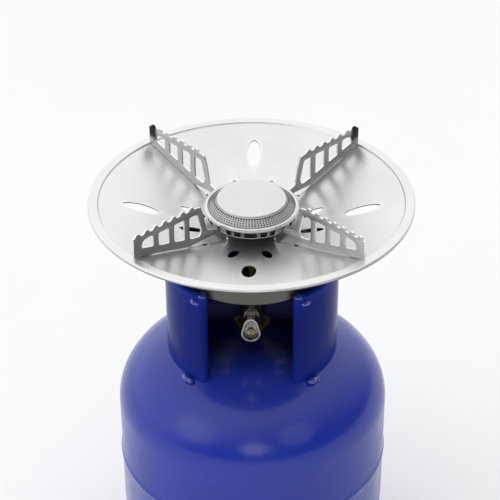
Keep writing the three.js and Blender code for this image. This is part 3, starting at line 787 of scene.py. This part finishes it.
def make_dish():
    """Pressed sheet dish: rolled rim, flat flange, small step, cone and floor, with its slots."""
    sheet, bore, roll, lip = DISH_SHEET, 9.6, 2, LIP_RADIUS
    edge = DISH_RADIUS - roll
    slope = (FLOOR_DEPTH - LIP_STEP) / (LIP_RADIUS - FLOOR_RADIUS)
    floor = dish_height(0)
    upper = [(bore, floor), (FLOOR_RADIUS - 3, floor), (FLOOR_RADIUS - 1, floor + 0.1)]
    upper += [(radius, dish_height(radius)) for radius in (38, 60, 80, 100, 120, 138, lip - 0.7)]
    upper += [(lip - 0.3, RIM - 1.25), (lip + 0.15, RIM - 0.2), (lip + 0.5, RIM - 0.04), (lip + 1.2, RIM)]
    rolled = arc(edge, RIM - roll, roll, 90, -150, 22)
    under = [(edge - 1.9, RIM - sheet), (lip + 1.4, RIM - sheet), (lip + 0.9, RIM - 1.5)]
    under += [(radius, dish_height(radius) - sheet) for radius in (lip, 120, 100, 80, 60, 38)]
    under += [(FLOOR_RADIUS - 3, floor - sheet), (bore, floor - sheet)]
    dish = lathe("burner_dish", upper + rolled + under, 256, sharp=50)

    cutters = []
    low, high = floor - 6, RIM + 6
    along, across = 4.2, 1.5  # half of a tab's slit
    for axis in (0, 90, 180, 270):
        cutters.append(turn(prism("slot", ellipse(*LONG_SLOT), low, high), axis))
        for side in (-AIR_SPREAD, AIR_SPREAD):
            cutters.append(turn(prism("slot", ellipse(*AIR_SLOT, 28), low, high), axis + side))
        for middle in TAB_MIDDLES:
            near, far = middle - along, middle + along
            outline = [(near, -across), (far, -across), (far, across), (near, across)]
            cutters.append(turn(prism("slit", outline, low, high), axis + 45))
    boolean(dish, [join(cutters[0], cutters[1:])])
    finish_mesh(dish.data, 50)
    cone_normals(dish, FLOOR_RADIUS + 2, lip - 0.7, slope, (floor - 3, RIM - 1))
    # Faces that turn down, the lower half of the rim bead among them, take the painted-shade steel.
    return two_tone(dish, DISH_STEEL, SHADED_UNDER_STEEL, lambda face: face.normal.z < 0.12)


def make_skirt():
    """Plain ring under the dish, with a rolled lower edge and an eased upper one."""
    outer, low, high = radius_of("dish_skirt"), bottom_of("dish_skirt"), top_of("dish_skirt")
    inner, roll, ease, bend = outer - 1.5, 1.3, 0.5, 3
    profile = [(inner, high - ease), (inner, low + bend), *arc(outer - roll, low + roll, roll, 180, 360, 8)]
    profile += [(outer, low + bend), *arc(outer - ease, high - ease, ease, 0, 90, 3), (inner + ease, high)]
    return lathe("dish_skirt_ring", profile, 200)


def stand_up(made, angle):
    """Turns a sheet drawn in radius and height upright, on its line from the axis."""
    stand = Matrix.Translation((0, 0, RIM * MM)) @ Matrix.Rotation(math.radians(angle), 4, "Z")
    return move(made, stand @ Matrix.Rotation(math.pi / 2, 4, "X"))


def make_hanger(corner, angle):
    """Bent strip that hangs the ring from the underside of the dish."""
    inner, outer, flange, bend, strip = 69, 70.2, 80, 71.8, 1.2
    low = bottom_of(f"skirt_hanger_{corner}") - RIM
    outline = [(outer, low + 2), (outer, under_dish(outer) - 2.6), (bend, under_dish(bend) - strip)]
    outline += [(flange, under_dish(flange) - strip), (flange, under_dish(flange))]
    outline += [(inner + 1, under_dish(inner + 1)), (inner, under_dish(inner) - strip)]
    outline += [(inner, low + 2), (inner + 0.3, low), (outer - 0.3, low)]
    return stand_up(plate(f"ring_hanger_{corner}", outline, [], 8, 0.2), angle)


def support_outline():
    """The pan support in radius and height above the rim plane: teeth, feet, tabs and inner arm."""
    pitch, first, count, steps = 10.4, 74, 7, 16
    tip, valley = 20.5, 17.5
    flank, steepness = 0.47, 13  # where a tooth's side is, as a share of half a pitch, and how steep
    relief = 0.6  # the foot stands clear of the dish between its two bearing ends
    outer_end = first + (count - 0.5) * pitch
    outline = [(outer_end, on_dish(outer_end)), (outer_end, valley)]
    for k in reversed(range(count)):
        middle = first + k * pitch
        for step in range(1, steps + 1):
            x = middle + pitch / 2 - pitch * step / steps
            across = min(1, abs(x - middle) / (pitch / 2))
            rise = 1 / (1 + math.exp((across - flank) * steepness))
            outline.append((x, min(tip, valley + (tip - valley + 0.04) * rise)))
    outline += eased([(63.5, 17.2), (60, 7), (57, -9), (55.5, -11), (37, -17), (35, -20.6)], 1.2, 3)
    outline += [(30.5, -31), (31, on_dish(0)), (FLOOR_RADIUS, on_dish(0))]
    outline += tab(TAB_MIDDLES[0])
    outline += [(76, on_dish(76)), (78, on_dish(78) + relief)]
    outline += [(120, on_dish(120) + relief), (122, on_dish(122))]
    outline += tab(TAB_MIDDLES[1])
    outline += [(LIP_RADIUS - 1, on_dish(LIP_RADIUS - 1))]
    return outline


def tab(middle):
    half, below, ease = 3.6, 5, 0.8
    near, far, low = middle - half, middle + half, dish_height(middle) - RIM - below
    outline = [(near, on_dish(near)), (near, low + ease), (near + ease, low)]
    return outline + [(far - ease, low), (far, low + ease), (far, on_dish(far))]


def support_windows():
    bar = 11.8
    outer = [(119, 1.0), (133, 4.8), (131, 11.5), (123, 13), (119, 12)]
    second = [(101, -4.2), (113, -0.9), (113, bar), (101, bar)]
    third = [(83, -9.4), (95, -5.9), (95, bar), (83, bar)]
    inner = [(65, -13.8), (77, -11.4), (77, 11.3), (67.5, 11), (62.5, -8.5)]
    return [eased(corners, 2.2) for corners in (outer, second, third, inner)]


def make_support(corner, angle):
    sheet = plate(f"support_{corner}", support_outline(), support_windows(), 1.8, 0.18)
    # Painted light and shade: the front-right and back-left supports take the lighter copy of the steel.
    faces = LIT_SUPPORT_STEEL if corner in ("front_right", "back_left") else SHADED_SUPPORT_STEEL
    two_tone(sheet, faces, EDGE_STEEL, lambda face: abs(face.normal.z) < 0.9)
    return stand_up(sheet, angle)


# ---- Burner ----


def make_bowl():
    """Rounded lip over a low wall with side windows, on a hub that stands on the dish."""
    foot, bore, hub = on_dish(0), 9.5, 20.5
    profile = [(bore, foot), (hub - 0.8, foot), (hub, foot + 0.8), (hub, -26)]
    profile += [*arc(22, -25.4, 1.4, 200, 120, 4), (38.2, -21.6), (40, -20.9), (41, -19.3), (42.1, -12.8)]
    profile += [(42.6, -12.2), *arc(42.9, -10.9, 1.1, -60, 20, 5), *arc(42.6, -9.5, 1.45, 0, 120, 8)]
    profile += [(40.6, -8.4), (40.2, -9.2), (40.2, -13), (39.2, -18.4), (37.5, -19.6), (bore, -24.6)]
    bowl = lathe("burner_bowl_body", [(r, z + RIM) for r, z in profile], 192)
    windows = ((0, 11.4), (-17, 6.6), (17, 6.6), (-28.6, 5.4), (28.6, 5.4))  # angle and width
    window_height = RIM - 15.9
    cutters = []
    for axis in (0, 90, 180, 270):
        for offset, width in windows:
            half = width / 2
            outline = eased([(-half, -2.9), (half, -2.9), (half, 2.3), (-half, 2.3)], 0.8)
            cutter = lay_forward(prism("window", outline, 37, 46), window_height)
            cutters.append(turn(cutter, axis + offset))
        notch = prism("notch", [(30, -1.6), (46, -1.6), (46, 1.6), (30, 1.6)], RIM - 34.3, RIM - 14.3)
        cutters.append(turn(notch, axis + 45))
    boolean(bowl, [join(cutters[0], cutters[1:])])

    # Painted shade: faces low on the bowl or inside its wall take the nearly black steel.
    def shaded_faces(face):
        return face.center.z / MM < RIM - 20.8 or face.center.xy.length / MM < 40.6

    return two_tone(bowl, BURNER_STEEL, SHADED_BURNER_STEEL, shaded_faces)


def make_port_ring():
    """Conical band of thin sheet with four rings of flame ports, folded down at both edges."""
    cells = 88
    inner, outer, high, low, bottom = 32.8, 39.8, -1.9, -8.3, -12.4
    start, pitch = 0.75, 2.05
    length = math.hypot(outer - inner, high - low)
    holes = [(0.98, 0), (0.72, 0.25), (0.72, 0), (0.8, 0.25)]  # radius, and shift in cells
    centring = 0.12
    down = Vector(((outer - inner) / length, (low - high) / length))

    points, faces = [], []

    def on_cone(along):
        return inner + down.x * along, high + down.y * along

    def add_point(radius, height, cell):
        angle = 2 * math.pi * cell / cells
        points.append((radius * math.cos(angle), radius * math.sin(angle), RIM + height))
        return len(points) - 1

    def ring(radius, height):
        return [add_point(radius, height, k / 2) for k in range(cells * 2)]

    def strip(one, two):
        for k in range(cells * 2):
            after = (k + 1) % (cells * 2)
            faces.append([one[k], one[after], two[after], two[k]])

    shelf = ring(29.0, -2.9)
    crease = ring(inner - 0.1, -2.8)
    edge = ring(inner, high)
    strip(shelf, crease)
    strip(crease, edge)
    lines = [ring(*on_cone(start + pitch * k)) for k in range(len(holes) + 1)]
    strip(edge, lines[0])
    for row, (size, shift) in enumerate(holes):
        upper, lower = lines[row], lines[row + 1]
        middle = start + pitch * (row + 0.5)
        radius, height = on_cone(middle)
        sides = ring(radius, height)
        for cell in range(cells):
            k, mid, end = 2 * cell, 2 * cell + 1, (2 * cell + 2) % (cells * 2)
            around = [upper[k], upper[mid], upper[end], sides[end]]
            around += [lower[end], lower[mid], lower[k], sides[k]]
            hole = []
            for step in range(8):
                angle = math.radians(225 + 45 * step)
                across = size * math.cos(angle) * cells / (2 * math.pi * radius)
                column = cell + 0.5 + (shift - centring) * 0.5 + across
                hole.append(add_point(*on_cone(middle + size * math.sin(angle)), column))
            for step in range(8):
                after = (step + 1) % 8
                faces.append([around[step], around[after], hole[after], hole[step]])
    bend = ring(outer, low)
    skirt = ring(outer, bottom)
    strip(lines[-1], bend)
    strip(bend, skirt)
    mesh = make_mesh("burner_port_ring", points, faces)
    work = bmesh.new()
    work.from_mesh(mesh)
    bmesh.ops.remove_doubles(work, verts=work.verts, dist=1e-7)
    loose = [vert for vert in work.verts if not vert.link_faces]
    bmesh.ops.delete(work, geom=loose, context="VERTS")
    bmesh.ops.recalc_face_normals(work, faces=work.faces)
    if sum(face.normal.z for face in work.faces) < 0:
        bmesh.ops.reverse_faces(work, faces=work.faces)
    work.to_mesh(mesh)
    work.free()
    made = make_object("burner_port_ring", mesh)
    thick = made.modifiers.new("sheet", "SOLIDIFY")
    thick.thickness = 0.7 * MM
    thick.offset = -1
    bake(made)
    shade(made.data, 35)
    return made


def make_cap():
    """Domed disc with a rolled edge and a fine pressed ring near it."""
    radius, edge, crown, under, roll, steps = 32.4, -1.6, 2.2, -2.5, 1.1, 24
    groove_radius, groove_width, groove_depth = 29.3, 0.5, 0.12
    inner, shoulder = radius - roll, edge + 0.5
    profile = [(0, under), (radius - 0.4, under), (radius, under + 0.3)]
    profile += arc(inner, edge - roll / 2, roll, 10, 78, 7)
    for k in range(1, steps + 1):
        r = inner * (1 - k / steps)
        groove = groove_depth * math.exp(-(((r - groove_radius) / groove_width) ** 2))
        profile.append((r, shoulder + (crown - shoulder) * (1 - (r / inner) ** 2) - groove))
    return lathe("burner_cap_disc", [(r, z + RIM) for r, z in profile], 160, closed=False, sharp=60)


def make_tube():
    """Tube with a threaded upper end and a ring of air holes."""
    low, high, root = bottom_of("mixing_tube"), top_of("mixing_tube"), TUBE_RADIUS - 0.6
    first_groove, pitch, grooves = low + 26, 2, 14
    hole_radius, hole_height = 4, RIM - 80
    profile = [(TUBE_BORE, low), (root, low), (TUBE_RADIUS, low + 0.6), (TUBE_RADIUS, first_groove - pitch)]
    for k in range(grooves):
        foot = first_groove + k * pitch
        profile += [(TUBE_RADIUS, foot), (root, foot + pitch / 2)]
    profile += [(TUBE_RADIUS, high - 1), (root, high), (TUBE_BORE, high)]
    tube = lathe("gas_mixing_tube", profile, 64)
    holes = []
    for angle in (45, 135):
        hole = rod("hole", hole_radius, -12, 12, 32)
        holes.append(turn(lay_forward(hole, hole_height), angle))
    return boolean(tube, holes)


def make_washer():
    top, outer = dish_height(0) - DISH_SHEET - GAP, WASHER_RADIUS
    low = top - WASHER_THICKNESS
    profile = [(NUT_BORE, low), (outer - 0.4, low), (outer, low + 0.4), (outer, top - 0.3)]
    return lathe("dish_plain_washer", profile + [(outer - 0.3, top), (NUT_BORE, top)], 64)


def make_nut():
    high = dish_height(0) - DISH_SHEET - WASHER_THICKNESS - 2 * GAP
    low = high - NUT_HEIGHT
    nut = prism("mixing_tube_nut", hexagon(26), low, high, 1)
    return boolean(nut, [rod("bore", NUT_BORE, low - 2, high + 2, 48)])


# ---- Control valve ----


def make_valve_body():
    """Brass body: hexagon above, grooved barrel, front boss and threaded nose."""
    low, high, top = RIM - 136.2, RIM - 108, RIM - 97
    radius, root = 12.6, 12
    barrel = [(0, low + 0.2), (radius - 1, low), (radius, low + 1), (radius, low + 4)]
    for k in range(6):
        foot = low + 14 + k * 2
        barrel += [(radius, foot), (root, foot + 0.7), (radius, foot + 1.4)]
    barrel += [(radius, high - 1), (root, high + 0.1), (0, high + 0.1)]
    body = lathe("control_valve", barrel, 72, closed=False)
    hexed = prism("hexed", hexagon(26), high, top, 1.2)
    nipple_radius, nipple_top = 6.2, RIM - 88.4
    profile = [(0, top - 0.5), (nipple_radius, top - 0.5), (nipple_radius, nipple_top - 0.6)]
    profile += [(nipple_radius - 0.6, nipple_top), (0, nipple_top)]
    nipple = lathe("nipple", profile, 40, closed=False)
    crest, nose_root, pitch, nose_low = 8.2, 7.6, 1.4, RIM - 149.2
    nose = [(0, nose_low), (crest - 0.8, nose_low)]
    for k in range(8):
        foot = nose_low + 0.8 + k * pitch
        nose += [(crest, foot), (nose_root, foot + pitch / 2)]
    nose += [(crest, low + 0.6), (0, low + 0.6)]
    thread = lathe("nose", nose, 56, closed=False)
    boss = lathe("boss", [(0, 4), (8, 4), (8, 19.6), (7.2, 20.8), (0, 20.8)], 48, closed=False)
    lay_forward(boss, SPINDLE_HEIGHT)
    return join(body, [hexed, nipple, thread, boss])


def make_gland_nut():
    start, end = 21.3, 29.5
    nut = prism("spindle_gland_nut", hexagon(12), start, end, 0.9)
    bore = rod("bore", 2.35, start - 1.3, end + 1.5, 32)
    return lay_forward(boolean(nut, [bore]), SPINDLE_HEIGHT)


def make_knob():
    """Flared knob with a knurled rim and a dished face round its middle boss."""
    profile = [
        (2.3, 33), (4.9, 33), (5.4, 33.5), (5.6, 35.5), (6.1, 37.2), (7.2, 39.4), (8.4, 41.2), (9.0, 42.4),
        (9.2, 43.4), (9.2, 44.8), (9.2, 46.4), (9.2, 48), (9.2, 49.2), (8.9, 49.8), (8.4, 50), (7.7, 50),
        (7.3, 49.6), (7.1, 47.5), (6.9, 45.6), (6.4, 45), (3.5, 45), (3.4, 45.4), (3.2, 47.2), (2.9, 47.4),
        (1.3, 47.4), (1.3, 44.5), (2.3, 44.5),
    ]

    def ripple(angle, index):
        radius, height = profile[index]
        if radius < 4:
            return 1
        pointer = 0.9 * min(1, (height - 33) / 8) * max(0, math.sin(angle)) ** 5
        knurl = 0.02 * (1 + math.cos(30 * angle)) if 43 < height < 49.5 and radius > 9 else 0
        return 1 + pointer - knurl

    return lay_forward(lathe("valve_control_knob", profile, 180, ripple=ripple), SPINDLE_HEIGHT)


def make_screw():
    """Round-headed screw with a cross recess."""
    head = lathe("knob_fixing_screw", [
        (0, 45.1), (1, 45.1), (1, 47.7), (2.2, 47.7), (2.3, 48.1), (2.0, 48.7), (1.3, 49.1), (0, 49.2)
    ], 40, closed=False)
    bars = []
    for angle in (20, 110):
        bar = prism("bar", [(-1.3, -0.22), (1.3, -0.22), (1.3, 0.22), (-1.3, 0.22)], 48.5, 50)
        bars.append(turn(bar, angle))
    return lay_forward(boolean(head, bars), SPINDLE_HEIGHT)


def make_sealing_washer():
    low, high = bottom_of("sealing_washer"), top_of("sealing_washer")
    middle, half = (low + high) / 2, (high - low) / 2
    profile = [(8.7, low), *arc(12.5 - half, middle, half, -90, 90, 8), (8.7, high)]
    return lathe("nose_sealing_washer", profile, 64)


# ---- The whole object ----

PAINTED = ("gas_cylinder", "blue_paint")
place(make_shell(), PAINT, *PAINTED, "cylinder_shell")
place(make_foot_ring(), PAINT, *PAINTED, "foot_ring")
place(make_collar(), SHADED_GUARD_PAINT, *PAINTED, "guard_collar")
place(make_collar_bead(), SHADED_GUARD_PAINT, *PAINTED)
for side, turned in (("left", -1), ("right", 1)):
    foot = make_weld(f"collar_foot_weld_{side}", -90 + 43.5 * turned, 5, 86, head_height(86) + 1.2, 3.6)
    place(foot, WELD_PAINT, *PAINTED)
    top = make_weld(f"collar_top_weld_{side}", -90 + 38 * turned, 3, COLLAR_RADIUS - 0.5, COLLAR_TOP - 9, 3)
    place(top, WELD_PAINT, *PAINTED)
    place(make_plug(f"collar_curl_plug_{side}", turned), WELD_PAINT, *PAINTED)
place(make_neck_boss(), PAINT, *PAINTED, "neck_boss")
place(make_cylinder_valve(), BRASS, "gas_cylinder", "brass", "cylinder_valve_body")
make_spring()

place(make_dish(), DISH_STEEL, "cooker_top", "dish_steel", "dish")
place(make_skirt(), SKIRT_STEEL, "cooker_top", "skirt_steel", "dish_skirt")
for corner, angle in (("back", 90), ("left", 210), ("right", 330)):
    place(make_hanger(corner, angle), SKIRT_STEEL, "cooker_top", "skirt_steel", f"skirt_hanger_{corner}")
for corner, angle in (("front_right", -45), ("front_left", -135), ("back_left", 135), ("back_right", 45)):
    support = make_support(corner, angle)
    place(support, SHADED_SUPPORT_STEEL, "cooker_top", "support_steel", f"pan_support_{corner}")
for piece, material, slot, node in (
    (make_bowl(), BURNER_STEEL, "burner_steel", "burner_bowl"),
    (make_port_ring(), PORT_STEEL, "burner_steel", "port_ring"),
    (make_cap(), CAP_STEEL, "burner_steel", "burner_cap"),
    (make_tube(), DARK_BRASS, "brass", "mixing_tube"),
    (make_washer(), NICKEL, "nickel_plate", "dish_washer"),
    (make_nut(), BRASS, "brass", "tube_nut"),
    (make_valve_body(), NICKEL, "nickel_plate", "control_valve_body"),
    (make_gland_nut(), NICKEL, "nickel_plate", "gland_nut"),
):
    place(piece, material, "cooker_top", slot, node)
place(make_sealing_washer(), RUBBER, "washer", "black_rubber", "sealing_washer")
place(make_knob(), NICKEL, "knob", "nickel_plate", "control_knob")
place(make_screw(), BRASS, "knob", "brass", "knob_screw")

for node, material in (
    ("check_pin", BRASS), ("valve_retainer", BRASS), ("injector", BRASS), ("spindle_seal", RUBBER),
    ("needle_spindle", NICKEL),
):
    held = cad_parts[node]
    held.data.materials.clear()
    held.data.materials.append(material)


# ---- Studio ----


def make_floor():
    half = 12000
    corners = [(-half, -half, 0), (half, -half, 0), (half, half, 0), (-half, half, 0)]
    floor = make_mesh("studio_floor", corners, [[0, 1, 2, 3]])
    nodes = Nodes("pale_floor")
    tone = nodes.mix(nodes.noise(3.0), grey(0.86), grey(0.9))
    floor.materials.append(nodes.set(Base_Color=tone, Roughness=0.9))
    make_object("studio_floor", floor)


def make_light(name, place_at, target, size, power):
    lamp = bpy.data.lights.new(name, "AREA")
    lamp.shape = "DISK"
    lamp.size = size
    lamp.energy = power
    made = make_object(name, lamp)
    made.location = place_at
    made.rotation_mode = "QUATERNION"
    made.rotation_quaternion = (Vector(target) - Vector(place_at)).to_track_quat("-Z", "Y")


def make_camera():
    """The photograph's camera: its place round the rim plane's middle, then its own turns, in degrees."""
    azimuth, elevation, distance = 1.471, 31.717, 1.5138
    pan, tilt, roll = 0.061, -1.847, -0.301
    lens = bpy.data.cameras.new("camera")
    lens.sensor_width = 36
    lens.lens = 118.78
    lens.clip_start = 0.05
    lens.clip_end = 50
    camera = make_object("camera", lens)
    stand = Matrix.Translation((0, 0, RIM * MM))
    for axis, angle in (("Z", azimuth), ("X", 90 - elevation)):
        stand = stand @ Matrix.Rotation(math.radians(angle), 4, axis)
    stand = stand @ Matrix.Translation((0, 0, distance))
    for axis, angle in (("Y", pan), ("X", tilt), ("Z", roll)):
        stand = stand @ Matrix.Rotation(math.radians(angle), 4, axis)
    camera.matrix_world = stand
    bpy.context.scene.camera = camera


def make_world():
    """Soft light from above, behind and the left, with the dark end of the room behind the camera."""
    world = bpy.data.worlds.new("studio")
    world.use_nodes = True
    tree = world.node_tree
    back = tree.nodes["Background"]
    back.inputs["Color"].default_value = (1, 1, 1, 1)
    place_at = tree.nodes.new("ShaderNodeTexCoord").outputs["Generated"]
    lean = tree.nodes.new("ShaderNodeVectorMath")
    lean.operation = "DOT_PRODUCT"
    lean.inputs[1].default_value = (-0.45, 0.7, 1.0)
    tree.links.new(place_at, lean.inputs[0])
    ramp = tree.nodes.new("ShaderNodeMapRange")
    ramp.interpolation_type = "SMOOTHSTEP"
    for name, value in (("From Min", -0.35), ("From Max", 0.8), ("To Min", 0.06), ("To Max", 1.34)):
        ramp.inputs[name].default_value = value
    tree.links.new(lean.outputs["Value"], ramp.inputs["Value"])
    tree.links.new(ramp.outputs["Result"], back.inputs["Strength"])
    bpy.context.scene.world = world


make_world()
make_floor()
make_light("right_lamp", (1.3, -1.5, 1.5), (0, 0, 0.35), 1.2, 3)
make_light("left_lamp", (-1.4, -1.1, 1.3), (0, 0, 0.35), 1.2, 3)
make_light("front_lamp", (0.1, -1.8, 0.95), (0, 0, 0.3), 0.7, 3)
make_camera()
bpy.context.scene.view_settings.view_transform = "Standard"
